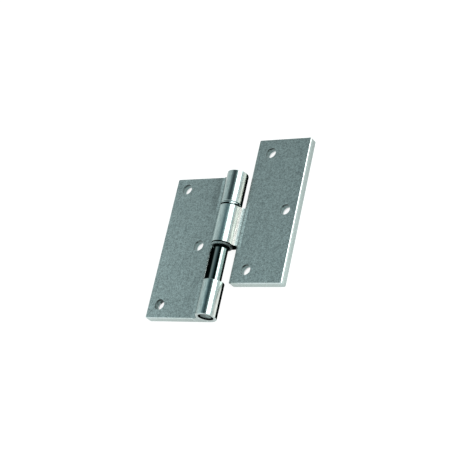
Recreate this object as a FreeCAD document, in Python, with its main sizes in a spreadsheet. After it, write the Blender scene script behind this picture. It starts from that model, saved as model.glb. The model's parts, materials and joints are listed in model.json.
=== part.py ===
import FreeCAD, Part
import math
import os

import Sketcher

# Lift gate hinge, lying on the backs of its two leaves.
# X points from the post side to the gate side, Y runs along the pin towards its upper end, and Z
# points out of the mounting plane. The lift leaf is modelled raised to the top of its travel.

# Driving dimensions in millimetres
DRIVING = {
    "leaf_width": (48.9, "pin axis to the outer edge of a leaf"),
    "leaf_thickness": (6.0, "leaf plate"),
    "leaf_inset": (9.7, "pin axis to the inner edge of a leaf"),
    "corner_radius": (1.0, "corners of a leaf, seen from the front"),
    "edge_bevel": (0.4, "bevel round the front of a leaf"),
    "front_setback": (2.4, "leaf front face behind the pin axis"),
    "knuckle_diameter": (14.2, "outside of a knuckle"),
    "root_radius": (4.3, "hollow fillet where a knuckle meets its leaf"),
    "root_run": (0.3, "run of a knuckle's tongue over its leaf, past the foot of the fillet"),
    "end_bevel": (0.3, "bevel at the ends of a knuckle"),
    "bore_bevel": (0.3, "bevel at the mouths of a knuckle bore"),
    "lower_knuckle": (24.2, "length of the lower fixed knuckle"),
    "upper_knuckle": (22.5, "length of the upper fixed knuckle"),
    "lift_knuckle": (26.8, "length of the lift leaf's knuckle"),
    "knuckle_overhang": (0.6, "upper knuckle past the upper end of the fixed leaf"),
    "lift_overhang": (2.2, "lowered lift leaf past the upper end of the fixed leaf"),
    "lift_travel": (24.5, "rise of the lift leaf along the pin"),
    "end_gap": (0.3, "flange to a fixed knuckle at either end of the travel"),
    "pin_diameter": (9.5, "hinge pin"),
    "pin_recess": (0.7, "pin end below the end of a fixed knuckle"),
    "pin_bevel": (1.0, "bevel at the ends of the pin"),
    "seat_clearance": (0.01, "pin to fixed knuckle, on the radius"),
    "slide_clearance": (0.05, "bush to pin, on the radius"),
    "turn_clearance": (0.05, "lift knuckle to bush, on the radius"),
    "bush_wall": (0.9, "sleeve of a bush"),
    "bush_gap": (1.0, "between the inner ends of the two bushes"),
    "flange_diameter": (14.0, "flange of a bush"),
    "flange_thickness": (1.4, "flange of a bush"),
    "flange_bevel": (0.2, "bevel round a flange"),
    "thrust_gap": (0.4, "flange to the end of the lift knuckle"),
    "hole_diameter": (7.5, "screw holes"),
    "first_hole": (9.6, "lower end of a leaf to its first hole"),
    "last_hole": (7.8, "last hole to the upper end of the fixed leaf"),
    "near_row": (20.2, "pin axis to the holes nearer the knuckles"),
    "outer_margin": (8.8, "holes farther from the knuckles to the outer edge of a leaf"),
}


# A length shorter than this counts as nothing
TINY = 1e-6
FULL_TURN = 360
HALF_TURN = 180


class Size:
    """A size's number together with the sheet expression that gives it."""

    def __init__(self, text, value):
        self.text = text
        self.value = value

    @classmethod
    def of(cls, amount):
        return amount if isinstance(amount, cls) else cls(str(amount), amount)

    def __add__(self, amount):
        other = Size.of(amount)
        return Size(f"({self.text} + {other.text})", self.value + other.value)

    def __sub__(self, amount):
        other = Size.of(amount)
        return Size(f"({self.text} - {other.text})", self.value - other.value)

    def __mul__(self, amount):
        other = Size.of(amount)
        return Size(f"({self.text} * {other.text})", self.value * other.value)

    def __truediv__(self, amount):
        other = Size.of(amount)
        return Size(f"({self.text} / {other.text})", self.value / other.value)

    def __neg__(self):
        return Size(f"(0 - {self.text})", -self.value)


def other_leg(hypotenuse, leg):
    """The second leg of a right triangle."""
    text = f"sqrt({hypotenuse.text}^2 - {leg.text}^2)"
    return Size(text, math.sqrt(hypotenuse.value ** 2 - leg.value ** 2))


def make_sheet(doc):
    """Writes the driving dimensions to a sheet and returns them as sizes by name."""
    sheet = doc.addObject("Spreadsheet::Sheet", "Sizes")
    sizes = {}
    for row, (alias, (number, meaning)) in enumerate(DRIVING.items(), start=1):
        sheet.set(f"A{row}", meaning)
        sheet.set(f"B{row}", str(number))
        sheet.setAlias(f"B{row}", alias)
        sizes[alias] = Size(f"Sizes.{alias}", number)
    doc.recompute()
    return sizes


doc = FreeCAD.newDocument("LiftGateHinge")
size = make_sheet(doc)
NOTHING = Size.of(0)

# Sizes that follow from the driving ones
axis_height = size["leaf_thickness"] + size["front_setback"]
knuckle_radius = size["knuckle_diameter"] / 2
pin_radius = size["pin_diameter"] / 2
seat_radius = pin_radius + size["seat_clearance"]
bush_bore = pin_radius + size["slide_clearance"]
sleeve_radius = bush_bore + size["bush_wall"]
turning_bore = sleeve_radius + size["turn_clearance"]
flange_radius = size["flange_diameter"] / 2

# Places along the pin, from the lower end of the fixed leaf
lower_flange_start = size["lower_knuckle"] + size["end_gap"] + size["lift_travel"]
lift_knuckle_start = lower_flange_start + size["flange_thickness"] + size["thrust_gap"]
lift_knuckle_end = lift_knuckle_start + size["lift_knuckle"]
upper_flange_end = lift_knuckle_end + size["thrust_gap"] + size["flange_thickness"]
upper_knuckle_start = upper_flange_end + size["end_gap"]
barrel_length = upper_knuckle_start + size["upper_knuckle"]
fixed_leaf_length = barrel_length - size["knuckle_overhang"]
lift_leaf_length = fixed_leaf_length + size["lift_overhang"]
half_overall = (lift_leaf_length + size["lift_travel"]) / 2

# Screw holes
hole_pitch = (fixed_leaf_length - size["first_hole"] - size["last_hole"]) / 2
far_row = size["leaf_width"] - size["outer_margin"]

# Hollow fillet between a knuckle and the front of its leaf
root_reach = knuckle_radius + size["root_radius"]
root_rise = size["root_radius"] - size["front_setback"]
root_centre = other_leg(root_reach, root_rise)
root_share = knuckle_radius / root_reach
root_touch_out = root_centre * root_share
root_touch_up = axis_height + root_rise * root_share
back_offset = axis_height - knuckle_radius


def origin_plane(body, role):
    """The body's own plane of that role, such as XY_Plane."""
    for feature in body.Origin.OriginFeatures:
        if feature.Role == role:
            return feature
    raise RuntimeError(f"{body.Label} has no {role}")


def add_body(label):
    """An empty body whose label is its part's name."""
    body = doc.addObject("PartDesign::Body", label)
    body.Label = label
    return body


def add_sketch(body, name, role, **offset):
    """A sketch on one of the body's origin planes, moved by sizes along its own x, y and z."""
    sketch = body.newObject("Sketcher::SketchObject", name)
    sketch.AttachmentSupport = [(origin_plane(body, role), "")]
    sketch.MapMode = "FlatFace"
    for direction, amount in offset.items():
        sketch.setExpression(f"AttachmentOffset.Base.{direction}", amount.text)
    return sketch


def tie_point(sketch, geometry, end, place):
    """Ties one point to its place, measured from the sketch's origin."""
    for kind, amount in zip(("DistanceX", "DistanceY"), place):
        if abs(amount.value) < TINY:
            axis = -2 if kind == "DistanceX" else -1
            sketch.addConstraint(Sketcher.Constraint("PointOnObject", geometry, end, axis))
        else:
            distance = Sketcher.Constraint(kind, -1, 1, geometry, end, amount.value)
            number = sketch.addConstraint(distance)
            sketch.setExpression(f"Constraints[{number}]", amount.text)


def arc_between(start, end, radius, centre_on_left):
    """The short arc from start to end, and whether it runs anticlockwise."""
    middle = (start + end) / 2
    half = (end - start) / 2
    rise = math.sqrt(radius ** 2 - half.Length ** 2)
    left = FreeCAD.Vector(-half.y, half.x, 0).normalize()
    centre = middle + left * (rise if centre_on_left else -rise)
    circle = Part.Circle(centre, FreeCAD.Vector(0, 0, 1), radius)
    first, last = (start, end) if centre_on_left else (end, start)
    angles = [math.atan2(point.y - centre.y, point.x - centre.x) for point in (first, last)]
    return Part.ArcOfCircle(circle, angles[0], angles[1])


def closed_outline(sketch, corners, arcs=None):
    """Draws a closed outline through corners tied to sizes.

    arcs gives, for the edge that leaves a corner, its radius and whether its centre lies on the
    left of the way from that corner to the next.
    """
    arcs = arcs or {}
    points = [FreeCAD.Vector(x.value, y.value, 0) for x, y in corners]
    ends = []
    for number, start in enumerate(points):
        end = points[(number + 1) % len(points)]
        if number in arcs:
            radius, on_left = arcs[number]
            edge = sketch.addGeometry(arc_between(start, end, radius.value, on_left))
            ends.append((edge, 1, 2) if on_left else (edge, 2, 1))
        else:
            edge = sketch.addGeometry(Part.LineSegment(start, end))
            ends.append((edge, 1, 2))
    for number, (edge, first, last) in enumerate(ends):
        following, following_first, _ = ends[(number + 1) % len(ends)]
        joined = Sketcher.Constraint("Coincident", edge, last, following, following_first)
        sketch.addConstraint(joined)
        tie_point(sketch, edge, first, corners[number])
    for number, (radius, _) in arcs.items():
        edge = ends[number][0]
        constraint = sketch.addConstraint(Sketcher.Constraint("Radius", edge, radius.value))
        sketch.setExpression(f"Constraints[{constraint}]", radius.text)


def pad(body, name, sketch, length):
    """Raises a sketch by a length, along its own z axis."""
    feature = body.newObject("PartDesign::Pad", name)
    feature.Profile = sketch
    feature.setExpression("Length", length.text)
    return feature


def turn(body, kind, name, sketch):
    """Revolves a sketch a full turn about its own x axis."""
    feature = body.newObject(kind, name)
    feature.Profile = sketch
    feature.ReferenceAxis = (sketch, ["H_Axis"])
    feature.Angle = FULL_TURN
    return feature


def stepped_profile(start, end, radius, bevel, flare):
    """Half section of a round form with bevelled ends: tapered in, or flared out for a bore."""
    rim = radius + bevel if flare else radius - bevel
    return [
        (start, NOTHING),
        (start, rim),
        (start + bevel, radius),
        (end - bevel, radius),
        (end, rim),
        (end, NOTHING),
    ]


def edges_where(shape, test):
    """Names of the edges whose two ends, or single end, all pass a test."""
    names = []
    for number, edge in enumerate(shape.Edges, start=1):
        if test([vertex.Point for vertex in edge.Vertexes]):
            names.append(f"Edge{number}")
    return names


class Leaf:
    """A plate with knuckles on one edge, in its own frame: lower end at Y 0, back at Z 0."""

    def __init__(self, label, side, length):
        self.body = add_body(label)
        self.side = side
        self.length = length

    def across(self, distance):
        """A distance from the pin towards this leaf's own side."""
        return distance * self.side

    def add_plate(self):
        """The flat plate, with rounded corners and a small bevel round its front."""
        sketch = add_sketch(self.body, "PlateOutline", "XY_Plane")
        inner = self.across(size["leaf_inset"])
        outer = self.across(size["leaf_width"])
        corners = [(inner, NOTHING), (outer, NOTHING), (outer, self.length), (inner, self.length)]
        closed_outline(sketch, corners)
        plate = pad(self.body, "Plate", sketch, size["leaf_thickness"])
        doc.recompute()

        rounding = self.body.newObject("PartDesign::Fillet", "RoundedCorners")
        upright = edges_where(plate.Shape, lambda ends: abs(ends[0].z - ends[-1].z) > TINY)
        rounding.Base = (plate, upright)
        rounding.setExpression("Radius", size["corner_radius"].text)
        doc.recompute()

        front = size["leaf_thickness"].value
        bevel = self.body.newObject("PartDesign::Chamfer", "FrontBevel")
        rim = edges_where(rounding.Shape, lambda ends: all(abs(p.z - front) < TINY for p in ends))
        bevel.Base = (rounding, rim)
        bevel.setExpression("Size", size["edge_bevel"].text)
        doc.recompute()

    def add_knuckle(self, name, start, end, tongue_end, bore_radius):
        """A barrel on its tongue, bored for the pin or a bush, between two places on the pin."""
        barrel = add_sketch(self.body, f"{name}Section", "YZ_Plane", y=axis_height)
        outline = stepped_profile(start, end, knuckle_radius, size["end_bevel"], flare=False)
        closed_outline(barrel, outline)
        turn(self.body, "PartDesign::Revolution", f"{name}Barrel", barrel)
        self.add_tongue(name, start, tongue_end)

        bore = add_sketch(self.body, f"{name}BoreSection", "YZ_Plane", y=axis_height)
        outline = stepped_profile(start, end, bore_radius, size["bore_bevel"], flare=True)
        closed_outline(bore, outline)
        turn(self.body, "PartDesign::Groove", f"{name}Bore", bore)

    def add_tongue(self, name, start, end):
        """Carries a barrel: a hollow fillet in front, and a back that sweeps up from the plate."""
        sketch = add_sketch(self.body, f"{name}TongueSection", "XZ_Plane", z=-end)
        plate_end = self.across(root_centre + size["root_run"])
        touch = (self.across(root_touch_out), root_touch_up)
        fillet_foot = (self.across(root_centre), size["leaf_thickness"])
        plate_front = (plate_end, size["leaf_thickness"])
        plate_back = (plate_end, NOTHING)
        sweep_foot = (self.across(back_offset), NOTHING)
        sweep_head = (-self.across(knuckle_radius), axis_height)
        corners = [touch, fillet_foot, plate_front, plate_back, sweep_foot, sweep_head]
        towards_gate = self.side > 0
        arcs = {
            0: (size["root_radius"], towards_gate),
            4: (axis_height, not towards_gate),
        }
        closed_outline(sketch, corners, arcs)
        pad(self.body, f"{name}Tongue", sketch, end - start)

    def add_screw_holes(self, rows):
        """Three holes, one pitch apart along the pin, each at its row's distance from it."""
        sketch = add_sketch(self.body, "HoleCentres", "XY_Plane", z=size["leaf_thickness"])
        for number, row in enumerate(rows):
            place = (self.across(row), size["first_hole"] + hole_pitch * number)
            centre = FreeCAD.Vector(place[0].value, place[1].value, 0)
            circle = Part.Circle(centre, FreeCAD.Vector(0, 0, 1), size["hole_diameter"].value / 2)
            edge = sketch.addGeometry(circle)
            tie_point(sketch, edge, 3, place)
            diameter = Sketcher.Constraint("Diameter", edge, size["hole_diameter"].value)
            constraint = sketch.addConstraint(diameter)
            sketch.setExpression(f"Constraints[{constraint}]", size["hole_diameter"].text)
        doc.recompute()
        holes = self.body.newObject("PartDesign::Hole", "ScrewHoles")
        holes.Profile = sketch
        holes.DepthType = "ThroughAll"
        holes.setExpression("Diameter", size["hole_diameter"].text)
        doc.recompute()


def make_fixed_leaf():
    """The post side: two knuckles that hold the pin, with the lift knuckle's notch between."""
    leaf = Leaf("fixed_leaf", -1, fixed_leaf_length)
    leaf.add_plate()
    leaf.add_knuckle("Lower", NOTHING, size["lower_knuckle"], size["lower_knuckle"], seat_radius)
    leaf.add_knuckle("Upper", upper_knuckle_start, barrel_length, fixed_leaf_length, seat_radius)
    leaf.add_screw_holes([far_row, size["near_row"], far_row])
    return leaf.body


def make_lift_leaf():
    """The gate side: one knuckle that turns on the bushes and rises with them."""
    leaf = Leaf("lift_leaf", 1, lift_leaf_length)
    leaf.add_plate()
    start = lift_knuckle_start - size["lift_travel"]
    end = lift_knuckle_end - size["lift_travel"]
    leaf.add_knuckle("Lift", start, end, end, turning_bore)
    leaf.add_screw_holes([size["near_row"], far_row, size["near_row"]])
    return leaf.body


def make_pin():
    """A plain round pin with bevelled ends, pressed through both fixed knuckles."""
    body = add_body("hinge_pin")
    sketch = add_sketch(body, "PinSection", "YZ_Plane")
    length = barrel_length - size["pin_recess"] * 2
    outline = stepped_profile(NOTHING, length, pin_radius, size["pin_bevel"], flare=False)
    closed_outline(sketch, outline)
    turn(body, "PartDesign::Revolution", "Pin", sketch)
    return body


def make_bush(label):
    """A flanged sleeve, flange first along Y, that fills half of the lift knuckle."""
    body = add_body(label)
    sketch = add_sketch(body, "BushSection", "YZ_Plane")
    flange = size["flange_thickness"]
    bevel = size["flange_bevel"]
    length = flange + size["thrust_gap"] + (size["lift_knuckle"] - size["bush_gap"]) / 2
    corners = [
        (NOTHING, bush_bore),
        (NOTHING, flange_radius - bevel),
        (bevel, flange_radius),
        (flange - bevel, flange_radius),
        (flange, flange_radius - bevel),
        (flange, sleeve_radius),
        (length, sleeve_radius),
        (length, bush_bore),
    ]
    closed_outline(sketch, corners)
    turn(body, "PartDesign::Revolution", "Bush", sketch)
    return body


def place(body, along, up, half_turn=False):
    """Puts a sub-part at its place along the pin and above the mounting plane, raised pose."""
    if half_turn:
        body.Placement.Rotation = FreeCAD.Rotation(FreeCAD.Vector(0, 0, 1), HALF_TURN)
    body.setExpression("Placement.Base.y", (along - half_overall).text)
    body.setExpression("Placement.Base.z", up.text)


def check(bodies):
    """Stops before anything is written if a feature failed or a shape isn't one good solid."""
    for item in doc.Objects:
        if "Invalid" in item.State or "Error" in item.State:
            raise RuntimeError(f"{item.Label} failed: {item.State}")
    for body in bodies:
        shape = body.Shape
        if shape.isNull() or not shape.isValid() or len(shape.Solids) != 1:
            raise RuntimeError(f"{body.Label} is not one valid solid")


fixed_leaf = make_fixed_leaf()
lift_leaf = make_lift_leaf()
hinge_pin = make_pin()
lower_bush = make_bush("lower_bush")
upper_bush = make_bush("upper_bush")

place(fixed_leaf, NOTHING, NOTHING)
place(lift_leaf, size["lift_travel"], NOTHING)
place(hinge_pin, size["pin_recess"], axis_height)
place(lower_bush, lower_flange_start, axis_height)
place(upper_bush, upper_flange_end, axis_height, half_turn=True)

subparts = [fixed_leaf, lift_leaf, hinge_pin, lower_bush, upper_bush]
doc.recompute()
check(subparts)

os.makedirs("parts", exist_ok=True)
for subpart in subparts:
    subpart.Shape.exportStep(f"parts/{subpart.Label}.step")
    box = subpart.Shape.BoundBox
    print(
        f"{subpart.Label}: {subpart.Shape.Volume:.1f} mm3,"
        f" x {box.XMin:.2f} to {box.XMax:.2f}, y {box.YMin:.2f} to {box.YMax:.2f},"
        f" z {box.ZMin:.2f} to {box.ZMax:.2f}"
    )
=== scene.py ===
"""Dresses and lights a lift gate hinge: two steel leaves, a long pin and two flanged bushes."""

import json
import logging
import math
from dataclasses import dataclass
from enum import Enum
from typing import Any, Dict, List, Optional, Tuple, Union

import bpy
from mathutils import Matrix, Vector


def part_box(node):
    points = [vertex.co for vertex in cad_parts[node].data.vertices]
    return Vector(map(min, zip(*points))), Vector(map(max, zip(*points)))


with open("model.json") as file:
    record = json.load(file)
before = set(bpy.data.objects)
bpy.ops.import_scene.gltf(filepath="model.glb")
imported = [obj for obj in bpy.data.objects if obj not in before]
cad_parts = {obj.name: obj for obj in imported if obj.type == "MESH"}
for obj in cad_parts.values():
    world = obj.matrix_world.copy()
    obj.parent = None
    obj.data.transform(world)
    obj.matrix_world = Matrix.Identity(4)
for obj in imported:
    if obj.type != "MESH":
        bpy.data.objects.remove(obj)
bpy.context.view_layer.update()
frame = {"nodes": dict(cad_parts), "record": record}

log = logging.getLogger("lift_gate_hinge")

Colour = Tuple[float, float, float]
Point = Tuple[float, float, float]
Spot = Tuple[float, float]
Edge = Tuple[float, float]
Band = Tuple[float, float, float, float]

MM = 0.001
PHOTO_PIXELS = 460
NOISE_MIDDLE = 0.5
# Matt black painted over the steel as painted shade, in gaps, in recesses and on undersides.
PAINTED_SHADE_BLACK: Colour = (0.0015, 0.004, 0.0035)

# How far a face turns towards an axis, where each kind of face begins and where it is full.
SIDE_FACE: Edge = (0.5, 0.2)
SLOPED_FACE: Edge = (0.9, 0.6)
BEVEL_FACE: Band = (0.55, 0.65, 0.75, 0.85)
END_FACE: Edge = (0.6, 0.8)
END_BEVEL_FACE: Band = (0.5, 0.6, 0.8, 0.9)
GENTLE_ROOT_FACE: Band = (0.82, 0.9, 0.93, 0.98)
STEEP_ROOT_FACE: Band = (0.56, 0.72, 0.76, 0.88)
SHEER_ROOT_FACE: Edge = (0.62, 0.5)


class Side(Enum):
    """The two leaves, by what each is screwed to."""

    POST = "post"
    GATE = "gate"


class MixSocket(Enum):
    """Numbers of the colour sockets of Blender's Mix node."""

    FACTOR = 0
    RESULT = 2
    FIRST = 6
    SECOND = 7


def moved(places: Tuple[float, ...], by: float) -> Tuple[float, ...]:
    """The same places, each moved by a distance."""
    return tuple(place + by for place in places)


class Field:
    """A number that varies over a surface, held as the output socket of a node."""

    def __init__(self, graph: "Graph", socket: bpy.types.NodeSocket) -> None:
        """Keeps the socket and the graph that it belongs to."""
        self.graph = graph
        self.socket = socket

    def __add__(self, other: "Number") -> "Field":
        """This field plus another number."""
        return self.graph.math("ADD", self, other)

    def __radd__(self, other: "Number") -> "Field":
        """Another number plus this field."""
        return self.graph.math("ADD", other, self)

    def __sub__(self, other: "Number") -> "Field":
        """This field less another number."""
        return self.graph.math("SUBTRACT", self, other)

    def __rsub__(self, other: "Number") -> "Field":
        """Another number less this field."""
        return self.graph.math("SUBTRACT", other, self)

    def __mul__(self, other: "Number") -> "Field":
        """This field times another number."""
        return self.graph.math("MULTIPLY", self, other)

    def __rmul__(self, other: "Number") -> "Field":
        """Another number times this field."""
        return self.graph.math("MULTIPLY", other, self)

    def __truediv__(self, other: "Number") -> "Field":
        """This field divided by another number."""
        return self.graph.math("DIVIDE", self, other)

    def __rtruediv__(self, other: "Number") -> "Field":
        """Another number divided by this field."""
        return self.graph.math("DIVIDE", other, self)

    def __abs__(self) -> "Field":
        """The size of this field without its sign."""
        return self.graph.math("ABSOLUTE", self)

    def rises(self, start: float, end: float) -> "Field":
        """A smooth mask: 0 where this field is below start, 1 where it is past end.

        Args:
            start: Value at which the mask begins to rise.
            end: Value at which it is full. It may lie below start, and the mask then falls.

        Returns:
            The mask, from 0 to 1.
        """
        low, high = min(start, end), max(start, end)
        at_low, at_high = (0.0, 1.0) if start < end else (1.0, 0.0)
        made = self.graph.node(
            "ShaderNodeMapRange",
            {"interpolation_type": "SMOOTHSTEP"},
            {"Value": self, "From Min": low, "From Max": high, "To Min": at_low, "To Max": at_high},
        )
        return Field(self.graph, made.outputs["Result"])

    def within(self, shows: float, full: float, fades: float, gone: float) -> "Field":
        """A smooth band of this field's values.

        Args:
            shows: Value at which the band begins to show.
            full: Value from which it is full.
            fades: Value from which it fades.
            gone: Value at which it is gone.

        Returns:
            The mask, from 0 to 1.
        """
        return self.rises(shows, full) * self.rises(gone, fades)

    def swing(self, amount: float) -> "Field":
        """A noise as a change of about half the amount either way."""
        return amount * (self - NOISE_MIDDLE)

    def blended(self, other: "Number", share: "Field") -> "Field":
        """This field where the share is 0, and the other number where it is 1."""
        return self + (other - self) * share


Number = Union[float, Field]
Paint = Union[Colour, bpy.types.NodeSocket]


class Graph:
    """The node tree of one material or world."""

    def __init__(self, tree: bpy.types.NodeTree) -> None:
        """Takes a tree and empties it."""
        self.tree = tree
        self.tree.nodes.clear()

    def node(self, kind: str, settings: Dict[str, Any], inputs: Dict[Any, Any]) -> bpy.types.Node:
        """Adds one node.

        Args:
            kind: Blender's name for the node's type.
            settings: The node's own properties, set before its sockets are filled.
            inputs: A value, a field or a socket for each input, by the input's name or number.

        Returns:
            The new node.
        """
        made = self.tree.nodes.new(kind)
        for name, value in settings.items():
            setattr(made, name, value)
        for name, value in inputs.items():
            source = value.socket if isinstance(value, Field) else value
            if isinstance(source, bpy.types.NodeSocket):
                self.tree.links.new(source, made.inputs[name])
            else:
                made.inputs[name].default_value = source
        return made

    def math(self, operation: str, *operands: Number) -> Field:
        """One Math node on one or two numbers.

        Args:
            operation: The node's operation.
            operands: Its numbers, in order.

        Returns:
            The result.
        """
        made = self.node("ShaderNodeMath", {"operation": operation}, dict(enumerate(operands)))
        return Field(self, made.outputs[0])

    def length(self, first: Field, second: Field) -> Field:
        """How far away a place is whose two offsets are given."""
        return self.math("SQRT", first * first + second * second)

    def vector(self, x: Number, y: Number, z: Number) -> bpy.types.NodeSocket:
        """A vector put together from three numbers."""
        return self.node("ShaderNodeCombineXYZ", {}, {"X": x, "Y": y, "Z": z}).outputs[0]

    def split(self, vector: bpy.types.NodeSocket) -> Tuple[Field, Field, Field]:
        """The three numbers of a vector."""
        made = self.node("ShaderNodeSeparateXYZ", {}, {"Vector": vector})
        return Field(self, made.outputs[0]), Field(self, made.outputs[1]), Field(self, made.outputs[2])

    def noise(self, vector: bpy.types.NodeSocket, detail: float) -> Field:
        """Soft noise of about 0 to 1, one cell to each unit of its vector.

        Args:
            vector: Where the noise is read.
            detail: Octaves of finer noise.

        Returns:
            The noise.
        """
        inputs = {"Vector": vector, "Scale": 1.0, "Detail": detail}
        made = self.node("ShaderNodeTexNoise", {"noise_dimensions": "3D"}, inputs)
        return Field(self, made.outputs["Fac"])

    def largest(self, *fields: Field) -> Field:
        """The largest of several fields at each point.

        Args:
            fields: The fields, one or more.

        Returns:
            The largest.
        """
        result = fields[0]
        for other in fields[1:]:
            result = self.math("MAXIMUM", result, other)
        return result

    def mixed(self, mask: Field, bare: Paint, full: Paint) -> bpy.types.NodeSocket:
        """A colour between two, by a mask from 0 to 1.

        Args:
            mask: Share of the second colour.
            bare: Colour where the mask is 0, even or varying.
            full: Colour where the mask is 1.

        Returns:
            The colour's socket.
        """
        first, second = ((*paint, 1.0) if isinstance(paint, tuple) else paint for paint in (bare, full))
        sockets = (MixSocket.FACTOR, MixSocket.FIRST, MixSocket.SECOND)
        inputs = {socket.value: given for socket, given in zip(sockets, (mask, first, second))}
        return self.node("ShaderNodeMix", {"data_type": "RGBA"}, inputs).outputs[MixSocket.RESULT.value]

    def scaled(self, vector: bpy.types.NodeSocket, amount: Number) -> bpy.types.NodeSocket:
        """A colour or a vector times a factor."""
        made = self.node("ShaderNodeVectorMath", {"operation": "SCALE"}, {0: vector, "Scale": amount})
        return made.outputs[0]

    def bump(self, height: Field, depth_mm: float) -> bpy.types.NodeSocket:
        """A surface normal roughened by a height of 0 to 1 times a depth."""
        inputs = {"Strength": 1.0, "Distance": depth_mm * MM, "Height": height}
        return self.node("ShaderNodeBump", {}, inputs).outputs[0]


@dataclass(frozen=True)
class PinAxis:
    """Where the pin's axis runs, worked out from the pin's own box."""

    x_mm: float
    z_mm: float
    middle_mm: float
    half_length_mm: float
    radius_mm: float

    @classmethod
    def of(cls, node: str) -> "PinAxis":
        """Measures a round pin that lies along Y.

        Args:
            node: Name of the pin's node.

        Returns:
            Its axis and radius.
        """
        low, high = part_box(node)
        return cls(
            x_mm=(low.x + high.x) / 2 / MM,
            z_mm=(low.z + high.z) / 2 / MM,
            middle_mm=(low.y + high.y) / 2 / MM,
            half_length_mm=(high.y - low.y) / 2 / MM,
            radius_mm=(high.x - low.x) / 2 / MM,
        )


def hole_centres_mm(side: Side) -> List[Spot]:
    """Centres of a leaf's three screw holes, from the record's mounts.

    Args:
        side: Which leaf it is.

    Returns:
        Three pairs of x and y in millimetres, from the lowest up.
    """
    mounts = {mount["name"]: mount for mount in frame["record"]["mounts"]}
    outer_pair = mounts[f"{side.value}_screws"]
    pair_x, pair_y, _ = outer_pair["pos_m"]
    half = outer_pair["dims"]["spacing_y_mm"] / 2
    middle_x, middle_y, _ = mounts[f"{side.value}_middle_screw"]["pos_m"]
    return [
        (pair_x / MM, pair_y / MM - half),
        (middle_x / MM, middle_y / MM),
        (pair_x / MM, pair_y / MM + half),
    ]


class Steel(Graph):
    """A steel's node tree, with the places on the hinge that its painted light and shade and its grain
    follow.
    """

    def __init__(self, name: str, axis: PinAxis) -> None:
        """Starts the tree with the surface's own coordinates, in millimetres.

        Args:
            name: The material's name.
            axis: The pin's axis, which round work is measured from.
        """
        self.material = bpy.data.materials.new(name)
        self.material.use_nodes = True
        super().__init__(self.material.node_tree)
        self.axis = axis
        where = self.node("ShaderNodeTexCoord", {}, {})
        self.x, self.y, self.z = self.split(self.scaled(where.outputs["Object"], 1 / MM))
        self.facing_x, self.facing_y, self.facing_z = self.split(where.outputs["Normal"])
        self.endwise = abs(self.facing_y)
        self.out = self.x - axis.x_mm
        self.up = self.z - axis.z_mm
        self.radius = self.length(self.out, self.up)
        self.turn = self.math("ARCTAN2", self.out, self.up)

    def past(self, start_degrees: float, end_degrees: float) -> Field:
        """Mask that rises with the angle round the pin, from its top towards the gate.

        Args:
            start_degrees: Angle at which the mask begins to rise.
            end_degrees: Angle at which it is full. It may lie below the start, and the mask then falls.

        Returns:
            The mask.
        """
        return self.turn.rises(math.radians(start_degrees), math.radians(end_degrees))

    def arc(self, band: Band) -> Field:
        """Mask of a band round the pin, in the same degrees. Past 180 it never fades."""
        return self.turn.within(*(math.radians(angle) for angle in band))

    def finish(
        self, colour: bpy.types.NodeSocket, roughness: Field, normal: bpy.types.NodeSocket, painted_shade: Field
    ) -> bpy.types.Material:
        """Closes the tree: bare metal, with matt black painted shade over part of it.

        Args:
            colour: Reflected colour of the bare metal.
            roughness: Roughness over the surface.
            normal: Normal over the surface.
            painted_shade: Share of the painted shade, from 0 to 1.

        Returns:
            The finished material.
        """
        inputs = {"Base Color": colour, "Metallic": 1.0, "Roughness": roughness, "Normal": normal}
        metal = self.node("ShaderNodeBsdfPrincipled", {}, inputs)
        matt = self.node("ShaderNodeBsdfDiffuse", {}, {"Color": (*PAINTED_SHADE_BLACK, 1.0)})
        shader = self.node("ShaderNodeMixShader", {}, {0: painted_shade, 1: metal.outputs[0], 2: matt.outputs[0]})
        self.node("ShaderNodeOutputMaterial", {}, {"Surface": shader.outputs[0]})
        return self.material


@dataclass(frozen=True)
class Marks:
    """A layer of soft marks, and how far it changes tone, roughness and height."""

    size_mm: Point
    seed: float = 0.0
    detail: float = 2.0
    tone: float = 0.0
    roughness: float = 0.0
    height: float = 0.0

    def on(self, steel: Steel) -> Field:
        """The marks as they lie on a steel.

        Args:
            steel: The steel that they are on.

        Returns:
            The marks, as a field of about 0 to 1.
        """
        width, length, depth = self.size_mm
        place = steel.vector(steel.x / width + self.seed, steel.y / length, steel.z / depth)
        return steel.noise(place, self.detail)


@dataclass(frozen=True)
class RoundMarks:
    """A layer of marks on round work: so many to a radian round the pin, each so long along it."""

    per_radian: float
    length_mm: float
    seed: float
    detail: float = 3.0
    tone: float = 0.0
    height: float = 0.0

    def on(self, steel: Steel) -> Field:
        """The marks on a steel, as a field of about 0 to 1."""
        place = steel.vector(steel.turn * self.per_radian, steel.y / self.length_mm, self.seed)
        return steel.noise(place, self.detail)


@dataclass(frozen=True)
class TurnedMarks:
    """Fine rings left by turning, on ends and on round walls alike."""

    pitch_mm: float
    seed: float
    per_radian: float = 1.5
    detail: float = 1.0
    tone: float = 0.0
    roughness: float = 0.0

    def on(self, steel: Steel) -> Field:
        """The rings as they lie on a steel.

        Args:
            steel: The steel that they are on.

        Returns:
            The rings, as a field of about 0 to 1.
        """
        outward = steel.radius / self.pitch_mm
        along = steel.y / self.pitch_mm + self.seed
        return steel.noise(steel.vector(outward, along, steel.turn * self.per_radian), self.detail)


@dataclass(frozen=True)
class Stripe:
    """A painted highlight or painted shade along round work, placed by the angle from its top towards the
    gate.

    The degrees of starts are where the stripe begins to show and where it is full. Those of ends are
    where it begins to fade and where it is gone. A stripe without one of them runs on round the work.
    """

    tone: float
    starts: Optional[Edge] = None
    ends: Optional[Edge] = None

    def over(self, steel: Steel) -> Number:
        """What the stripe adds to a tone of 1.

        Args:
            steel: The steel that it runs along.

        Returns:
            The change of tone.
        """
        change: Number = self.tone - 1
        if self.starts:
            change = change * steel.past(*self.starts)
        if self.ends:
            fades, gone = self.ends
            change = change * steel.past(gone, fades)
        return change


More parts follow.
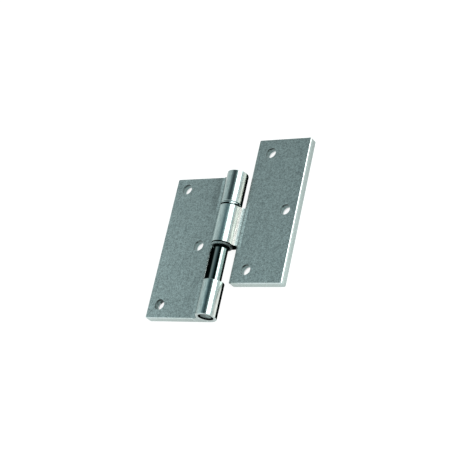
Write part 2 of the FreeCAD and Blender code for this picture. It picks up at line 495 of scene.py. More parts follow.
@dataclass(frozen=True)
class LeafSizes:
    """A leaf's own sizes, and how soft the borders between its surfaces are.

    Reaches are measured from the pin's axis. Borders are measured from the size that they follow.
    """

    knuckle_radius_mm: float = 7.1
    knuckle_border_mm: Edge = (1.6, 0.6)
    root_reach_mm: float = 11.5
    root_border_mm: Edge = (0.3, -0.5)
    root_foot_mm: Edge = (0.4, 0.8)
    crest_mm: Band = (-0.9, -0.2, 0.8, 1.5)
    hollow_mm: Band = (1.2, 2.0, 2.2, 9.0)
    inner_edge_reach_mm: float = 9.7
    middle_reach_mm: float = 29.0
    front_mm: float = 6.0
    bevel_border_mm: Edge = (-1.0, -0.6)
    hole_radius_mm: float = 3.75
    hole_border_mm: Edge = (0.1, 0.05)
    rim_width_mm: float = 0.5


class LeafSteel(Steel):
    """The steel of one leaf, with masks of its knuckles, their roots, its sides, bevels and holes."""

    def __init__(self, side: Side, axis: PinAxis, sizes: LeafSizes) -> None:
        """Starts the tree and works out the masks.

        Args:
            side: Which leaf it is.
            axis: The pin's axis.
            sizes: The leaf's own sizes.
        """
        super().__init__(f"leaf_steel_{side.value}", axis)
        self.sizes = sizes
        self.holes_mm = hole_centres_mm(side)
        self.reach = abs(self.out)
        level = abs(self.facing_z)
        self.slope = level.rises(*SLOPED_FACE)
        self.knuckle = self.radius.rises(*moved(sizes.knuckle_border_mm, sizes.knuckle_radius_mm))
        self.plate = 1 - self.knuckle
        self.upright = level.rises(*SIDE_FACE) * self.plate
        self.bevel = level.within(*BEVEL_FACE) * self.plate
        self.bevel = self.bevel * self.z.rises(*moved(sizes.bevel_border_mm, sizes.front_mm))
        self.end_face = self.knuckle * self.endwise.rises(*END_FACE)
        self.end_bevel = self.endwise.within(*END_BEVEL_FACE)
        self.fillet = self.reach.rises(*moved(sizes.root_border_mm, sizes.root_reach_mm))
        self.fillet = self.fillet * (1 - self.upright)
        self.fillet = self.fillet * self.radius.rises(*moved(sizes.root_foot_mm, sizes.knuckle_radius_mm))
        self.gentle_root = self.facing_z.within(*GENTLE_ROOT_FACE)
        self.steep_root = self.facing_z.within(*STEEP_ROOT_FACE)
        self.sheer_root = self.facing_z.rises(*SHEER_ROOT_FACE)
        self.crest = self.reach.within(*moved(sizes.crest_mm, sizes.root_reach_mm))
        self.hollow = self.reach.within(*moved(sizes.hollow_mm, sizes.root_reach_mm))
        self.rim = self.largest(*(self.near_hole(hole, sizes.rim_width_mm) for hole in self.holes_mm))
        self.hole_wall = self.rim * self.upright

    def near_hole(self, centre_mm: Spot, width_mm: float) -> Field:
        """Mask of one screw hole's wall and of the plate round it.

        Args:
            centre_mm: The hole's centre.
            width_mm: How far past the rim the mask fades out.

        Returns:
            The mask.
        """
        distance = self.length(self.x - centre_mm[0], self.y - centre_mm[1])
        outer, inner = moved(self.sizes.hole_border_mm, self.sizes.hole_radius_mm)
        return distance.rises(outer + width_mm, inner)


@dataclass(frozen=True)
class KnucklePaintedLight:
    """One knuckle's place along the pin, the painted reflection bands along it and the painted tones of
    its root.

    The root's painted highlights and shade are those of the steep, gentle and sheer parts of its fillet,
    of the crest where the plate begins and of the hollow in the plate beside it.
    """

    start_mm: float
    end_mm: float
    painted_bands: Tuple[Stripe, ...]
    steep: float
    gentle: float
    crest: float
    hollow: float
    sheer: float = 1.45
    end_bevel: float = 1.25
    border_mm: float = 0.5
    fade_outside_mm: float = 6.0
    fade_inside_mm: float = 2.0

    def factor(self, steel: LeafSteel) -> Field:
        """How much brighter or darker the knuckle and its root are than the rest of the leaf, by painted
        light and shade.

        Args:
            steel: The leaf's steel, with its masks.

        Returns:
            A factor on the leaf's tone, 1 away from this knuckle.
        """
        # Painted highlight on the end bevels and painted reflection bands round the knuckle.
        knuckle_light = (self.end_bevel - 1) * steel.end_bevel
        for stripe in self.painted_bands:
            knuckle_light = knuckle_light + stripe.over(steel)
        knuckle_light = knuckle_light * steel.knuckle * (1 - steel.fillet)
        # Painted highlights and shade on the root's fillet, the crest and the hollow beside it.
        root = (self.steep - 1) * steel.steep_root + (self.gentle - 1) * steel.gentle_root
        root = steel.fillet * (root + (self.sheer - 1) * steel.sheer_root)
        beside = (self.crest - 1) * steel.crest + (self.hollow - 1) * steel.hollow
        beside = beside * self._along(steel, self.fade_outside_mm, self.fade_inside_mm)
        here = self._along(steel, self.border_mm, self.border_mm)
        return 1 + here * (knuckle_light + root) + beside * steel.plate

    def _along(self, steel: LeafSteel, outside_mm: float, inside_mm: float) -> Field:
        """Mask of the knuckle's own length of the leaf.

        Args:
            steel: The leaf's steel.
            outside_mm: How far beyond the knuckle's ends the mask begins.
            inside_mm: How far inside them it is full.

        Returns:
            The mask.
        """
        shows, full = self.start_mm - outside_mm, self.start_mm + inside_mm
        fades, gone = self.end_mm - inside_mm, self.end_mm + outside_mm
        return steel.y.within(shows, full, fades, gone)


# Each knuckle's painted reflection bands and the painted tones of its root.
LOWER_KNUCKLE = KnucklePaintedLight(
    start_mm=-64.15,
    end_mm=-39.95,
    painted_bands=(
        Stripe(0.76, ends=(-31.5, -8.6)),
        Stripe(1.3, starts=(-7.0, 0.0), ends=(11.5, 17.2)),
        Stripe(0.65, starts=(9.7, 21.2), ends=(20.6, 27.5)),
        Stripe(0.75, starts=(20.6, 25.2), ends=(30.9, 35.5)),
        Stripe(1.6, starts=(68.8, 80.2)),
        Stripe(0.85, starts=(83.1, 91.7)),
    ),
    steep=0.85,
    gentle=0.9,
    crest=1.2,
    hollow=0.95,
)
UPPER_KNUCKLE = KnucklePaintedLight(
    start_mm=15.55,
    end_mm=38.05,
    painted_bands=(
        Stripe(0.97, ends=(-31.5, -8.6)),
        Stripe(0.93, starts=(-14.3, -2.9), ends=(5.7, 11.5)),
        Stripe(0.5, starts=(0.0, 11.5), ends=(20.6, 27.5)),
        Stripe(1.15, starts=(57.0, 62.0), ends=(66.0, 71.0)),
        Stripe(1.1, starts=(68.8, 80.2)),
        Stripe(0.9, starts=(83.1, 91.7)),
    ),
    steep=0.95,
    gentle=1.0,
    crest=1.5,
    hollow=0.78,
)
LIFT_KNUCKLE = KnucklePaintedLight(
    start_mm=-13.35,
    end_mm=13.45,
    painted_bands=(
        Stripe(1.85, ends=(-43.0, -25.8)),
        Stripe(1.4, starts=(0.0, 11.5), ends=(20.6, 27.5)),
        Stripe(1.6, starts=(20.6, 25.2), ends=(30.9, 35.5)),
        Stripe(1.1, starts=(68.8, 80.2)),
        Stripe(1.4, starts=(83.1, 91.7)),
    ),
    steep=0.41,
    gentle=1.5,
    crest=1.85,
    hollow=1.0,
)


@dataclass(frozen=True)
class LeafPaintedLight:
    """The painted light and shade that set one leaf apart: its knuckles' bands, its painted shade, its
    sides' painted light and shade, and how its plate brightens across its width.

    The shares of painted shade in the three screw holes run from the lowest up.
    """

    knuckles: Tuple[KnucklePaintedLight, ...]
    wall_shadow: Tuple[float, float, float]
    shade_behind: float
    shaded_end_face: Edge
    side_shine: float
    outward_shine_per_mm: float


# Each leaf's painted light and shade.
POST_PAINTED_LIGHT = LeafPaintedLight(
    knuckles=(LOWER_KNUCKLE, UPPER_KNUCKLE),
    wall_shadow=(0.85, 0.15, 0.15),
    shade_behind=1.0,
    shaded_end_face=(0.8, 0.9),
    side_shine=-0.05,
    outward_shine_per_mm=0.0045,
)
GATE_PAINTED_LIGHT = LeafPaintedLight(
    knuckles=(LIFT_KNUCKLE,),
    wall_shadow=(0.3, 0.25, 0.25),
    shade_behind=0.0,
    shaded_end_face=(0.5, 0.6),
    side_shine=0.06,
    outward_shine_per_mm=0.0,
)


@dataclass(frozen=True)
class LeafPaintedShade:
    """Painted shade on a leaf: under the knuckles, in the bay round the pin, on the knuckles' inner end
    faces, at the bores and in holes.

    Borders are measured from the size that they follow, as in the leaf's own sizes.
    """

    behind_border_mm: Edge = (1.9, 1.6)
    behind_face: Band = (-1.0, -0.75, -0.07, 0.05)
    behind_not_end_face: Edge = (0.9, 0.8)
    bay_face: Edge = (0.8, 0.9)
    bay_border_mm: Edge = (-0.4, -0.2)
    bay_stops_mm: Edge = (-1.0, 0.0)
    clear_of_pin_ends_mm: Edge = (-8.0, -12.0)
    end_border_mm: Edge = (0.3, 0.0)
    mouth_border_mm: Edge = (0.6, 0.4)
    # Patchy painted shade on the screw holes' walls.
    wall_shadow_patches: Marks = Marks((1.4, 1.4, 2.0))
    wall_shadow_patch_border: Edge = (0.35, 0.6)
    wall_shadow_between_patches: float = 0.35
    wall_shadow_below_rim_mm: Edge = (-0.1, -0.6)
    wall_shadow_upper_face: Edge = (-0.4, -0.8)
    wall_shadow_on_lower_wall: float = 0.65

    def on(self, steel: LeafSteel, painted_light: LeafPaintedLight) -> Field:
        """Mask of the painted shade on a leaf.

        Args:
            steel: The leaf's steel, with its masks.
            painted_light: What sets the leaf apart.

        Returns:
            The mask.
        """
        sizes, axis = steel.sizes, steel.axis
        # Painted shade on the undersides of the knuckles.
        behind = steel.radius.rises(*moved(self.behind_border_mm, sizes.knuckle_radius_mm))
        behind = behind * steel.facing_z.within(*self.behind_face)
        behind = behind * steel.endwise.rises(*self.behind_not_end_face) * painted_light.shade_behind
        # Painted shade on the wall of the bay beside the pin.
        bay_wall = steel.upright * steel.facing_x.rises(*self.bay_face)
        bay_edge = moved(self.bay_border_mm, -sizes.inner_edge_reach_mm)
        bay_wall = bay_wall * steel.out.within(*bay_edge, *self.bay_stops_mm)
        # Painted shade on the knuckles' inner end faces at the gaps, and round the bores.
        along = abs(steel.y - axis.middle_mm)
        inner_ends = steel.endwise.rises(*painted_light.shaded_end_face)
        inner_ends = inner_ends * along.rises(*moved(self.clear_of_pin_ends_mm, axis.half_length_mm))
        inner_ends = inner_ends * steel.radius.rises(*moved(self.end_border_mm, sizes.inner_edge_reach_mm))
        mouth = steel.radius.rises(*moved(self.mouth_border_mm, axis.radius_mm))
        return steel.largest(behind, bay_wall, inner_ends, mouth, self._wall_shadow(steel, painted_light))

    def _wall_shadow(self, steel: LeafSteel, painted_light: LeafPaintedLight) -> Field:
        """Mask of the patchy painted shade on the screw holes' walls, deepest below the rim.

        Args:
            steel: The leaf's steel, with its masks.
            painted_light: What sets the leaf apart.

        Returns:
            The mask.
        """
        shares = zip(steel.holes_mm, painted_light.wall_shadow)
        wall_shadow = steel.largest(*(steel.near_hole(hole, 0.0) * share for hole, share in shares))
        patches = self.wall_shadow_patches.on(steel).rises(*self.wall_shadow_patch_border)
        patchy = self.wall_shadow_between_patches + (1 - self.wall_shadow_between_patches) * patches
        wall_shadow = wall_shadow * steel.upright * patchy
        wall_shadow = wall_shadow * steel.z.rises(*moved(self.wall_shadow_below_rim_mm, steel.sizes.front_mm))
        upper = steel.facing_y.rises(*self.wall_shadow_upper_face)
        return wall_shadow * (self.wall_shadow_on_lower_wall + (1 - self.wall_shadow_on_lower_wall) * upper)


@dataclass(frozen=True)
class LeafFinish:
    """Satin plate with a mottled grain, turned knuckles, bevels with painted highlights, and painted light
    and shade on the knuckles, in the holes and round the pin.
    """

    metal: Colour = (0.47, 0.555, 0.53)
    # A straw colour painted on the knuckles' flanks towards the gate, as a painted reflection.
    straw_reflection: Colour = (0.54, 0.52, 0.48)
    bevel_metal: Colour = (0.52, 0.565, 0.54)
    plate: Colour = (0.393, 0.464, 0.449)
    stain: Colour = (0.34, 0.41, 0.40)
    # The screw holes' walls, darkened as painted shade.
    hole_wall_shade: Colour = (0.23, 0.32, 0.315)

    plate_roughness: float = 0.28
    knuckle_roughness: float = 0.15
    edge_roughness: float = 0.34
    fillet_roughness: float = 0.55
    bevel_roughness: float = 0.2
    rim_polish: float = 0.6
    grain_depth_mm: float = 0.006

    drawn: Marks = Marks((0.16, 7.0, 0.16), seed=3.1, detail=1.0, tone=0.16, height=0.5)
    sheared: Marks = Marks((0.3846, 0.3846, 2.857))
    turned: TurnedMarks = TurnedMarks(0.22, seed=7.0)
    coarse: Marks = Marks((0.9, 16.0, 0.9), seed=11.7, detail=1.0, tone=0.26, roughness=0.08)
    speckle: Marks = Marks((0.9, 0.9, 0.9), seed=5.0, tone=1.6, roughness=0.10, height=0.5)
    mottle: Marks = Marks((1.8, 1.8, 1.8), seed=8.0, tone=0.5)
    streaks: RoundMarks = RoundMarks(10.0, 6.0, seed=3.0, tone=0.9)
    dents: RoundMarks = RoundMarks(7.0, 1.8, seed=9.0, tone=0.7)
    waves: RoundMarks = RoundMarks(3.0, 25.0, seed=6.0, detail=2.0, height=3.0)
    speckle_off_knuckles: float = 0.9
    speckle_off_slopes: float = 0.75
    speckle_height_off_knuckles: float = 0.8

    stains: Marks = Marks((9.0, 9.0, 9.0), seed=1.0)
    stain_border: Edge = (0.48, 0.75)
    stain_share: float = 0.6
    # Where the straw-coloured painted reflection lies on the knuckles.
    straw_from_degrees: Edge = (60.2, 74.5)
    straw_off_ends: Edge = (0.6, 0.4)
    straw_above_mm: Edge = (-40.0, -30.0)
    straw_below: float = 0.5

    # Painted highlights on the bevels, more on the lower ones, and round the holes' rims.
    bevel_shine: float = 0.22
    lower_bevel_shine: float = 0.35
    lower_bevel_face: Edge = (-0.3, -0.6)
    rim_shine: float = 0.12
    fade_per_mm: float = 0.0012
    # Painted light on the plate's sides, more on the outer side and towards the front.
    side_lift: float = 0.12
    outer_side_lift: float = 0.13
    outer_side_face: Edge = (0.5, 0.9)
    side_lift_mm: Edge = (1.5, 5.5)
    # Painted light and shade across the knuckles' end faces, by the angle round the pin.
    end_stripes: Tuple[Stripe, ...] = (
        Stripe(1.13, ends=(-34.4, 0.0)),
        Stripe(0.85, starts=(17.2, 51.6)),
    )

    # Painted shade on the holes' walls below the rim, and a painted highlight near the back.
    hole_shade: float = 0.9
    hole_shade_mm: Band = (-2.8, -1.6, -0.5, -0.2)
    hole_shade_patches: Marks = Marks((1.6, 1.6, 1.6))
    hole_patch_border: Edge = (0.2, 0.5)
    hole_upper_face: Edge = (-0.35, -0.75)
    hole_lower_shade: float = 0.45
    hole_back_highlight: float = 3.6
    hole_back_highlight_mm: Edge = (1.3, 0.7)

    # Painted shade under the knuckles, round the pin and in the holes.
    leaf_shade: LeafPaintedShade = LeafPaintedShade()

    def dress(self, steel: LeafSteel, painted_light: LeafPaintedLight) -> bpy.types.Material:
        """Builds the finish of one leaf.

        Args:
            steel: The leaf's steel, with its masks.
            painted_light: What sets the leaf apart.

        Returns:
            The material.
        """
        lines = self._lines(steel)
        coarse = self.coarse.on(steel)
        speckle = self.speckle.on(steel)
        tone = self._tone(steel, lines, coarse, speckle)
        # Painted light and shade of each knuckle and its root.
        for knuckle_light in painted_light.knuckles:
            tone = tone * knuckle_light.factor(steel)
        tone = tone * self._by_side(steel, painted_light) * self._hole_shade(steel)
        colour = steel.scaled(self._colour(steel), tone)
        roughness = self._roughness(steel, coarse, speckle)
        rough_plate = 1 - self.speckle_height_off_knuckles * steel.knuckle
        height = self.drawn.height * lines + self.speckle.height * speckle * rough_plate
        height = height + self.waves.height * self.waves.on(steel) * steel.knuckle
        normal = steel.bump(height, self.grain_depth_mm)
        return steel.finish(colour, roughness, normal, self.leaf_shade.on(steel, painted_light))

    def _lines(self, steel: LeafSteel) -> Field:
        """Fine tool marks: drawn along the plate, sheared down its sides, turned on the ends."""
        lines = self.drawn.on(steel).blended(self.sheared.on(steel), steel.upright)
        return lines.blended(self.turned.on(steel), steel.end_face)

    def _tone(self, steel: LeafSteel, lines: Field, coarse: Field, speckle: Field) -> Field:
        """How bright the leaf is by its grain, its bevels' and rims' painted highlights and its place,
        before the rest of its painted light and shade.

        Args:
            steel: The leaf's steel, with its masks.
            lines: The fine tool marks.
            coarse: The coarse grain.
            speckle: The fine speckle.

        Returns:
            The tone, about 1.
        """
        tone = 1 + lines.swing(self.drawn.tone) + coarse.swing(self.coarse.tone)
        mottled = speckle.swing(self.speckle.tone) + self.mottle.on(steel).swing(self.mottle.tone)
        mottled = mottled * (1 - self.speckle_off_knuckles * steel.knuckle)
        tone = tone + mottled * (1 - self.speckle_off_slopes * steel.slope)
        handled = self.streaks.on(steel).swing(self.streaks.tone)
        handled = handled + self.dents.on(steel).swing(self.dents.tone)
        tone = tone + handled * steel.knuckle
        # Painted highlights on the bevels and round the holes' rims.
        lower = self.lower_bevel_shine * steel.facing_y.rises(*self.lower_bevel_face)
        tone = tone * (1 + (self.bevel_shine + lower) * steel.bevel) * (1 + self.rim_shine * steel.rim)
        fade = self.fade_per_mm * (steel.y - steel.axis.middle_mm)
        return tone * (1 - fade) * (1 - fade * steel.plate)

    def _colour(self, steel: LeafSteel) -> bpy.types.NodeSocket:
        """The metal's colour: stained plate, paler knuckles and bevels, a straw-coloured painted
        reflection on the knuckles' flanks, and hole walls darkened as painted shade.

        Args:
            steel: The leaf's steel, with its masks.

        Returns:
            The colour's socket.
        """
        stained = self.stains.on(steel).rises(*self.stain_border) * self.stain_share
        flat = steel.mixed(stained, self.plate, self.stain)
        worked = steel.largest(steel.knuckle, steel.upright, steel.bevel)
        bare = steel.mixed(worked, flat, self.metal)
        bare = steel.mixed(steel.bevel, bare, self.bevel_metal)
        # Straw-coloured painted reflection on the knuckles' flanks towards the gate.
        reflected_straw = steel.knuckle * steel.past(*self.straw_from_degrees)
        reflected_straw = reflected_straw * steel.endwise.rises(*self.straw_off_ends)
        above = steel.y.rises(*self.straw_above_mm)
        reflected_straw = reflected_straw * (self.straw_below + (1 - self.straw_below) * above)
        bare = steel.mixed(reflected_straw, bare, self.straw_reflection)
        # Hole walls darkened as painted shade.
        return steel.mixed(steel.hole_wall, bare, self.hole_wall_shade)

    def _roughness(self, steel: LeafSteel, coarse: Field, speckle: Field) -> Field:
        """Roughness of the plate, knuckles, sides, roots and bevels, with the grain's own.

        Args:
            steel: The leaf's steel, with its masks.
            coarse: The coarse grain.
            speckle: The fine speckle.

        Returns:
            The roughness.
        """
        roughness = self.plate_roughness + (self.knuckle_roughness - self.plate_roughness) * steel.knuckle
        roughness = roughness.blended(self.edge_roughness, steel.upright)
        roughness = roughness.blended(self.fillet_roughness, steel.fillet)
        polished = steel.largest(steel.bevel, steel.rim * self.rim_polish)
        roughness = roughness.blended(self.bevel_roughness, polished)
        return roughness + coarse.swing(self.coarse.roughness) + speckle.swing(self.speckle.roughness)

    def _by_side(self, steel: LeafSteel, painted_light: LeafPaintedLight) -> Field:
        """How much painted light and shade brighten or darken the plate's sides and bevels and the
        knuckles' end faces, and how the plate brightens across its width.

        Args:
            steel: The leaf's steel, with its masks.
            painted_light: What sets the leaf apart.

        Returns:
            A factor on the leaf's tone.
        """
        lift = self.side_lift + self.outer_side_lift * steel.facing_x.rises(*self.outer_side_face)
        lift = lift * steel.z.rises(*self.side_lift_mm)
        sides = painted_light.side_shine * steel.largest(steel.upright, steel.bevel) + lift * steel.upright
        left, right = (stripe.over(steel) for stripe in self.end_stripes)
        ends = steel.end_face * (left + right)
        outward = steel.reach - steel.sizes.middle_reach_mm
        return 1 + sides + ends + painted_light.outward_shine_per_mm * outward * steel.plate

    def _hole_shade(self, steel: LeafSteel) -> Field:
        """Factor of painted shade on the screw holes' walls below the rim and of a painted highlight on
        them near the back.

        Args:
            steel: The leaf's steel, with its masks.

        Returns:
            A factor on the leaf's tone.
        """
        below_rim = steel.z.within(*moved(self.hole_shade_mm, steel.sizes.front_mm))
        below_rim = below_rim * self.hole_shade_patches.on(steel).rises(*self.hole_patch_border)
        upper = steel.facing_y.rises(*self.hole_upper_face)
        below_rim = below_rim * (self.hole_lower_shade + (1 - self.hole_lower_shade) * upper)
        near_back = steel.z.rises(*self.hole_back_highlight_mm)
        return 1 + steel.hole_wall * (self.hole_back_highlight * near_back - self.hole_shade * below_rim)


@dataclass(frozen=True)
class PinFinish:
    """Ground dark steel, rubbed lengthwise where the bushes slide, with painted highlights and painted
    dark reflections along its sides.
    """

    metal: Colour = (0.25, 0.31, 0.295)
    end_metal: Colour = (0.185, 0.26, 0.245)
    roughness: float = 0.07
    rubbed_roughness: float = 0.115
    end_roughness: float = 0.38
    end_face: Edge = (0.4, 0.7)
    grain_depth_mm: float = 0.0015

    ground: Marks = Marks((3.333, 0.1111, 3.333), tone=0.10, height=0.5)
    turned: TurnedMarks = TurnedMarks(0.3, seed=2.0)
    rubs: RoundMarks = RoundMarks(9.0, 28.57, seed=2.0, tone=0.16, height=0.5)
    rub_border: Edge = (0.5, 0.7)
    patches: Marks = Marks((6.0, 6.0, 6.0), seed=4.0, tone=0.08)
    # Painted highlight and painted shade bands along the pin.
    painted_bands: Tuple[Stripe, ...] = (
        Stripe(2.0, starts=(31.5, 43.0), ends=(57.3, 68.8)),
        Stripe(1.15, starts=(54.4, 63.0)),
        Stripe(0.7, ends=(-5.7, 2.9)),
    )

    # Painted dark reflections along the pin, the flange's painted shadow, the end bevels and the rim's
    # painted shadow round a lit spot on the lower end.
    dark_bands_degrees: Tuple[Band, ...] = (
        (-67.0, -57.0, -19.0, -9.0),
        (13.0, 23.0, 35.0, 45.0),
        (78.0, 88.0, 125.0, 135.0),
    )
    dark_bands_off_ends: Edge = (0.3, 0.2)
    flange_shadow_mm: Band = (-2.0, -1.4, 1.0, 3.0)
    end_bevel_face: Band = (0.3, 0.5, 0.85, 0.95)
    lit_spot_mm: Spot = (-1.0, -1.46)
    lit_radius_mm: Edge = (3.7, 4.2)
    lower_end_face: Edge = (-0.8, -0.9)

    def dress(self, name: str, axis: PinAxis, flange_mm: float) -> bpy.types.Material:
        """Builds the finish of the pin.

        Args:
            name: The material's name.
            axis: The pin's axis.
            flange_mm: Place along the pin where the lower bush's flange stops.

        Returns:
            The material.
        """
        steel = Steel(name, axis)
        ends = steel.endwise.rises(*self.end_face)
        lines = self.ground.on(steel).blended(self.turned.on(steel), ends)
        rubs = self.rubs.on(steel)
        tone = 1 + lines.swing(self.ground.tone) + rubs.swing(self.rubs.tone)
        tone = tone + self.patches.on(steel).swing(self.patches.tone)
        for stripe in self.painted_bands:
            tone = tone * (1 + stripe.over(steel))
        colour = steel.scaled(steel.mixed(ends, self.metal, self.end_metal), tone)
        rubbed = rubs.rises(*self.rub_border)
        roughness = self.roughness + (self.rubbed_roughness - self.roughness) * rubbed
        roughness = roughness.blended(self.end_roughness, ends)
        height = self.ground.height * lines + self.rubs.height * rubs
        normal = steel.bump(height, self.grain_depth_mm)
        return steel.finish(colour, roughness, normal, self._pin_shade(steel, flange_mm))

    def _pin_shade(self, steel: Steel, flange_mm: float) -> Field:
        """Mask of painted shade: dark bands along the pin, a painted shadow ring at the bush, the end
        bevels and the rim's painted shadow on the lower end.

        Args:
            steel: The pin's steel.
            flange_mm: Place along the pin where the lower bush's flange stops.

        Returns:
            The mask.
        """
        runs = steel.largest(*(steel.arc(run) for run in self.dark_bands_degrees))
        flank = runs * steel.endwise.rises(*self.dark_bands_off_ends)
        ring = steel.y.within(*moved(self.flange_shadow_mm, flange_mm))
        bevel = steel.endwise.within(*self.end_bevel_face)
        spot_out, spot_up = self.lit_spot_mm
        from_spot = steel.length(steel.out - spot_out, steel.up - spot_up)
        rim_shadow = from_spot.rises(*self.lit_radius_mm) * steel.facing_y.rises(*self.lower_end_face)
        return steel.largest(flank, ring, bevel, rim_shadow)


@dataclass(frozen=True)
class BushFinish:
    """Dull turned steel, with painted shade next to the pin, inside the knuckle and along the gap at the
    upper flange, and the upper bush painted lighter.
    """

    metal: Colour = (0.34, 0.41, 0.395)
    stain: Colour = (0.2, 0.25, 0.24)
    stain_border: Edge = (0.5, 0.75)
    roughness: float = 0.5
    upper_polish: float = 0.25
    # The upper bush painted lighter, as a painted highlight.
    upper_painted_light: float = 0.6
    lower_border_mm: Edge = (0.5, -0.5)
    lower_shade: Stripe = Stripe(0.25, starts=(14.3, 37.2))
    turned: TurnedMarks = TurnedMarks(0.25, seed=9.0, tone=0.25, roughness=0.1)
    patches: Marks = Marks((2.2, 2.2, 2.2), seed=6.0, tone=0.2, roughness=0.2)
    ring_depth_mm: float = 0.004
    sleeve_mm: Edge = (1.4, 1.1)
    sleeve_off_ends: Edge = (0.6, 0.4)
    mouth_mm: Edge = (1.3, 0.7)
    seam_mm: Edge = (14.6, 14.3)
    seam_clear_degrees: Tuple[Edge, ...] = ((24.1, 18.3), (45.8, 51.6))
    shade_patches_degrees: Tuple[Band, ...] = ((65.9, 69.9, 79.1, 84.2), (96.3, 102.0, 190.0, 200.0))

    def dress(self, name: str, axis: PinAxis) -> bpy.types.Material:
        """Builds the finish of both bushes.

        Args:
            name: The material's name.
            axis: The pin's axis.

        Returns:
            The material.
        """
        steel = Steel(name, axis)
        rings = self.turned.on(steel)
        patches = self.patches.on(steel)
        lower = steel.y.rises(*self.lower_border_mm)
        upper = 1 - lower
        tone = 1 + rings.swing(self.turned.tone) + patches.swing(self.patches.tone)
        # Painted shade over the lower flange's highlight, and the upper bush painted lighter.
        tone = tone * (1 + self.lower_shade.over(steel) * lower) * (1 + self.upper_painted_light * upper)
        bare = steel.mixed(patches.rises(*self.stain_border), self.metal, self.stain)
        roughness = self.roughness + patches.swing(self.patches.roughness)
        roughness = roughness + rings.swing(self.turned.roughness) - self.upper_polish * upper
        normal = steel.bump(rings, self.ring_depth_mm)
        return steel.finish(steel.scaled(bare, tone), roughness, normal, self._bush_shade(steel, upper))

    def _bush_shade(self, steel: Steel, upper: Field) -> Field:
        """Mask of the painted shade: the sleeve, the flange's mouth, and the upper flange's edge at the
        gap and its dark patches.

        Args:
            steel: The bushes' steel.
            upper: Mask of the upper bush.

        Returns:
            The mask.
        """
        # Painted shade inside the knuckle, at the flange's mouth, along the gap and in dark patches on the
        # upper flange.
        sleeve = steel.radius.rises(*moved(self.sleeve_mm, steel.axis.radius_mm))
        sleeve = sleeve * steel.endwise.rises(*self.sleeve_off_ends)
        mouth = steel.radius.rises(*moved(self.mouth_mm, steel.axis.radius_mm))
        clear = steel.largest(*(steel.past(*edge) for edge in self.seam_clear_degrees))
        seam = steel.y.rises(*self.seam_mm) * clear * upper
        shade_patches = steel.largest(*(steel.arc(blot) for blot in self.shade_patches_degrees)) * upper
        return steel.largest(sleeve, mouth, seam, shade_patches)


def put_on(node: str, material: bpy.types.Material) -> None:
    """Gives every face of a node one material.

    Args:
        node: Name of the node.
        material: Its finish.
    """
    mesh = frame["nodes"][node].data
    for number in range(len(mesh.materials)):
        mesh.materials[number] = material
    log.info("%s wears %s", node, material.name)


@dataclass
class Leaf:
    """One leaf of the hinge with its knuckles."""

    node: str
    side: Side
    painted_light: LeafPaintedLight
    sizes: LeafSizes = LeafSizes()
    finish: LeafFinish = LeafFinish()

    def dress(self, axis: PinAxis) -> None:
        """Dresses the leaf.

        Args:
            axis: The pin's axis.
        """
        steel = LeafSteel(self.side, axis, self.sizes)
        put_on(self.node, self.finish.dress(steel, self.painted_light))


@dataclass
class PinAndBushes:
    """The round pieces on the hinge's axis."""

    pin: str = "hinge_pin"
    lower_bush: str = "lower_bush"
    upper_bush: str = "upper_bush"
    pin_finish: PinFinish = PinFinish()
    bush_finish: BushFinish = BushFinish()

    def dress(self, axis: PinAxis) -> None:
        """Dresses the pin and both bushes.

        Args:
            axis: The pin's axis.
        """
        flange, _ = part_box(self.lower_bush)
        put_on(self.pin, self.pin_finish.dress("pin_steel", axis, flange.y / MM))
        bush_steel = self.bush_finish.dress("bush_steel", axis)
        for bush in (self.lower_bush, self.upper_bush):
            put_on(bush, bush_steel)


@dataclass(frozen=True)
class Softbox:
    """A rectangular studio lamp that faces the hinge."""

    name: str
    direction: Point
    distance: float
    width: float
    length: float
    radiance: float

    def build(self) -> None:
        """Adds the lamp, its long side upright as seen from the hinge."""
        lamp = bpy.data.lights.new(self.name, "AREA")
        lamp.shape = "RECTANGLE"
        lamp.size = self.width
        lamp.size_y = self.length
        lamp.energy = self.radiance * self.width * self.length * math.pi
        holder = bpy.data.objects.new(self.name, lamp)
        towards = Vector(self.direction).normalized()
        along = Vector((0.0, 1.0, 0.0))
        across = along.cross(towards).normalized()
        along = towards.cross(across)
        turned = Matrix((across, along, towards)).transposed()
        holder.matrix_world = Matrix.Translation(towards * self.distance) @ turned.to_4x4()
        holder.visible_camera = False
        bpy.context.scene.collection.objects.link(holder)
        log.info("lamp %s", self.name)


@dataclass(frozen=True)
class Camera:
    """The photograph's camera: where it stands, what it looks at and how far it leans."""

    eye: Point = (0.47983, -0.33107, 0.69419)
    target: Point = (0.00351, -0.00290, 0.00840)
    lean_degrees: float = -49.4106
    focal_pixels: float = 1375.6
    sensor_mm: float = 36.0
    nearest: float = 0.01

    def build(self) -> None:
        """Adds the camera and makes it the scene's own."""
        data = bpy.data.cameras.new("photo_camera")
        data.sensor_width = self.sensor_mm
        data.lens = self.focal_pixels * self.sensor_mm / PHOTO_PIXELS
        data.clip_start = self.nearest
        holder = bpy.data.objects.new("photo_camera", data)
        eye = Vector(self.eye)
        level = (Vector(self.target) - eye).to_track_quat("-Z", "Y").to_matrix()
        lean = Matrix.Rotation(math.radians(self.lean_degrees), 3, "Z")
        holder.matrix_world = Matrix.Translation(eye) @ (level @ lean).to_4x4()
        bpy.context.scene.collection.objects.link(holder)
        bpy.context.scene.camera = holder
        log.info("camera with a %.1f mm lens", data.lens)


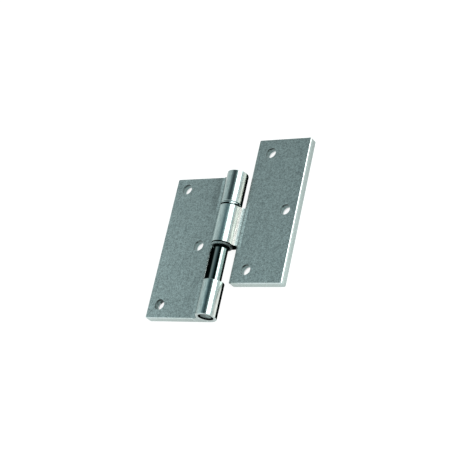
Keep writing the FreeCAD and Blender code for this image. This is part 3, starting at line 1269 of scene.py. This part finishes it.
@dataclass
class Studio:
    """Pale floor, pale walls, a dim ceiling and one large soft lamp.

    Each of the walls' stops is a height, from level to straight up, and the colour of the light there.
    """

    floor_size: float = 8.0
    floor_white: float = 0.25
    floor_seen: float = 0.92
    floor_mirrored: float = 0.7
    floor_gap: float = 0.00002
    walls: Tuple[Tuple[float, Colour], ...] = (
        (0.0, (0.74, 0.83, 0.85)),
        (0.45, (0.70, 0.79, 0.81)),
        (0.74, (0.55, 0.64, 0.66)),
        (0.86, (0.30, 0.38, 0.40)),
        (0.92, (0.10, 0.16, 0.18)),
        (1.0, (0.04, 0.085, 0.105)),
    )
    lamp: Softbox = Softbox(
        name="key_softbox",
        direction=(0.72, 0.36, 0.59),
        distance=1.6,
        width=1.14,
        length=1.6,
        radiance=2.9,
    )

    def build(self) -> None:
        """Adds the floor, the walls' light and the lamp."""
        self.build_floor()
        self.build_walls()
        self.lamp.build()

    def build_floor(self) -> None:
        """Adds the floor that the hinge lies on, which keeps its shadow."""
        half = self.floor_size / 2
        mesh = bpy.data.meshes.new("floor")
        corners = [(-half, -half), (half, -half), (half, half), (-half, half)]
        mesh.from_pydata([(x, y, -self.floor_gap) for x, y in corners], [], [(0, 1, 2, 3)])
        mesh.materials.append(self.paper())
        floor = bpy.data.objects.new("floor", mesh)
        bpy.context.scene.collection.objects.link(floor)
        log.info("floor")

    def paper(self) -> bpy.types.Material:
        """Builds the floor's pale paper, which looks white to the camera and to the steel.

        Returns:
            The material.
        """
        material = bpy.data.materials.new("floor_paper")
        material.use_nodes = True
        graph = Graph(material.node_tree)
        path = graph.node("ShaderNodeLightPath", {}, {})
        seen, glossy, passing = (
            Field(graph, path.outputs[f"Is {kind} Ray"]) for kind in ("Camera", "Glossy", "Transmission")
        )
        lift = seen * self.floor_seen + graph.largest(glossy, passing) * self.floor_mirrored
        white = (self.floor_white, self.floor_white, self.floor_white, 1.0)
        matt = graph.node("ShaderNodeBsdfDiffuse", {}, {"Color": white})
        glow = graph.node("ShaderNodeEmission", {}, {"Strength": lift})
        both = graph.node("ShaderNodeAddShader", {}, {0: matt.outputs[0], 1: glow.outputs[0]})
        graph.node("ShaderNodeOutputMaterial", {}, {"Surface": both.outputs[0]})
        return material

    def build_walls(self) -> None:
        """Sets the light that comes from all round: pale at the sides and dim overhead."""
        world = bpy.data.worlds.new("studio")
        bpy.context.scene.world = world
        world.use_nodes = True
        graph = Graph(world.node_tree)
        where = graph.node("ShaderNodeTexCoord", {}, {})
        _, _, height = graph.split(where.outputs["Generated"])
        ramp = graph.node("ShaderNodeValToRGB", {}, {"Fac": height})
        stops = ramp.color_ramp.elements
        while len(stops) < len(self.walls):
            stops.new(1.0)
        for stop, (position, colour) in zip(stops, self.walls):
            stop.position = position
            stop.color = (*colour, 1.0)
        light = graph.node("ShaderNodeBackground", {}, {"Color": ramp.outputs["Color"], "Strength": 1.0})
        graph.node("ShaderNodeOutputWorld", {}, {"Surface": light.outputs[0]})
        log.info("walls")


def main() -> None:
    """Builds the hinge's looks, the studio and the camera, in that order."""
    logging.basicConfig(level=logging.INFO, format="%(name)s: %(message)s")
    axis = PinAxis.of("hinge_pin")
    leaves = (
        Leaf("fixed_leaf", Side.POST, POST_PAINTED_LIGHT),
        Leaf("lift_leaf", Side.GATE, GATE_PAINTED_LIGHT),
    )
    for leaf in leaves:
        leaf.dress(axis)
    PinAndBushes().dress(axis)
    Studio().build()
    Camera().build()
    bpy.context.scene.view_settings.view_transform = "Standard"


if __name__ == "__main__":
    main()
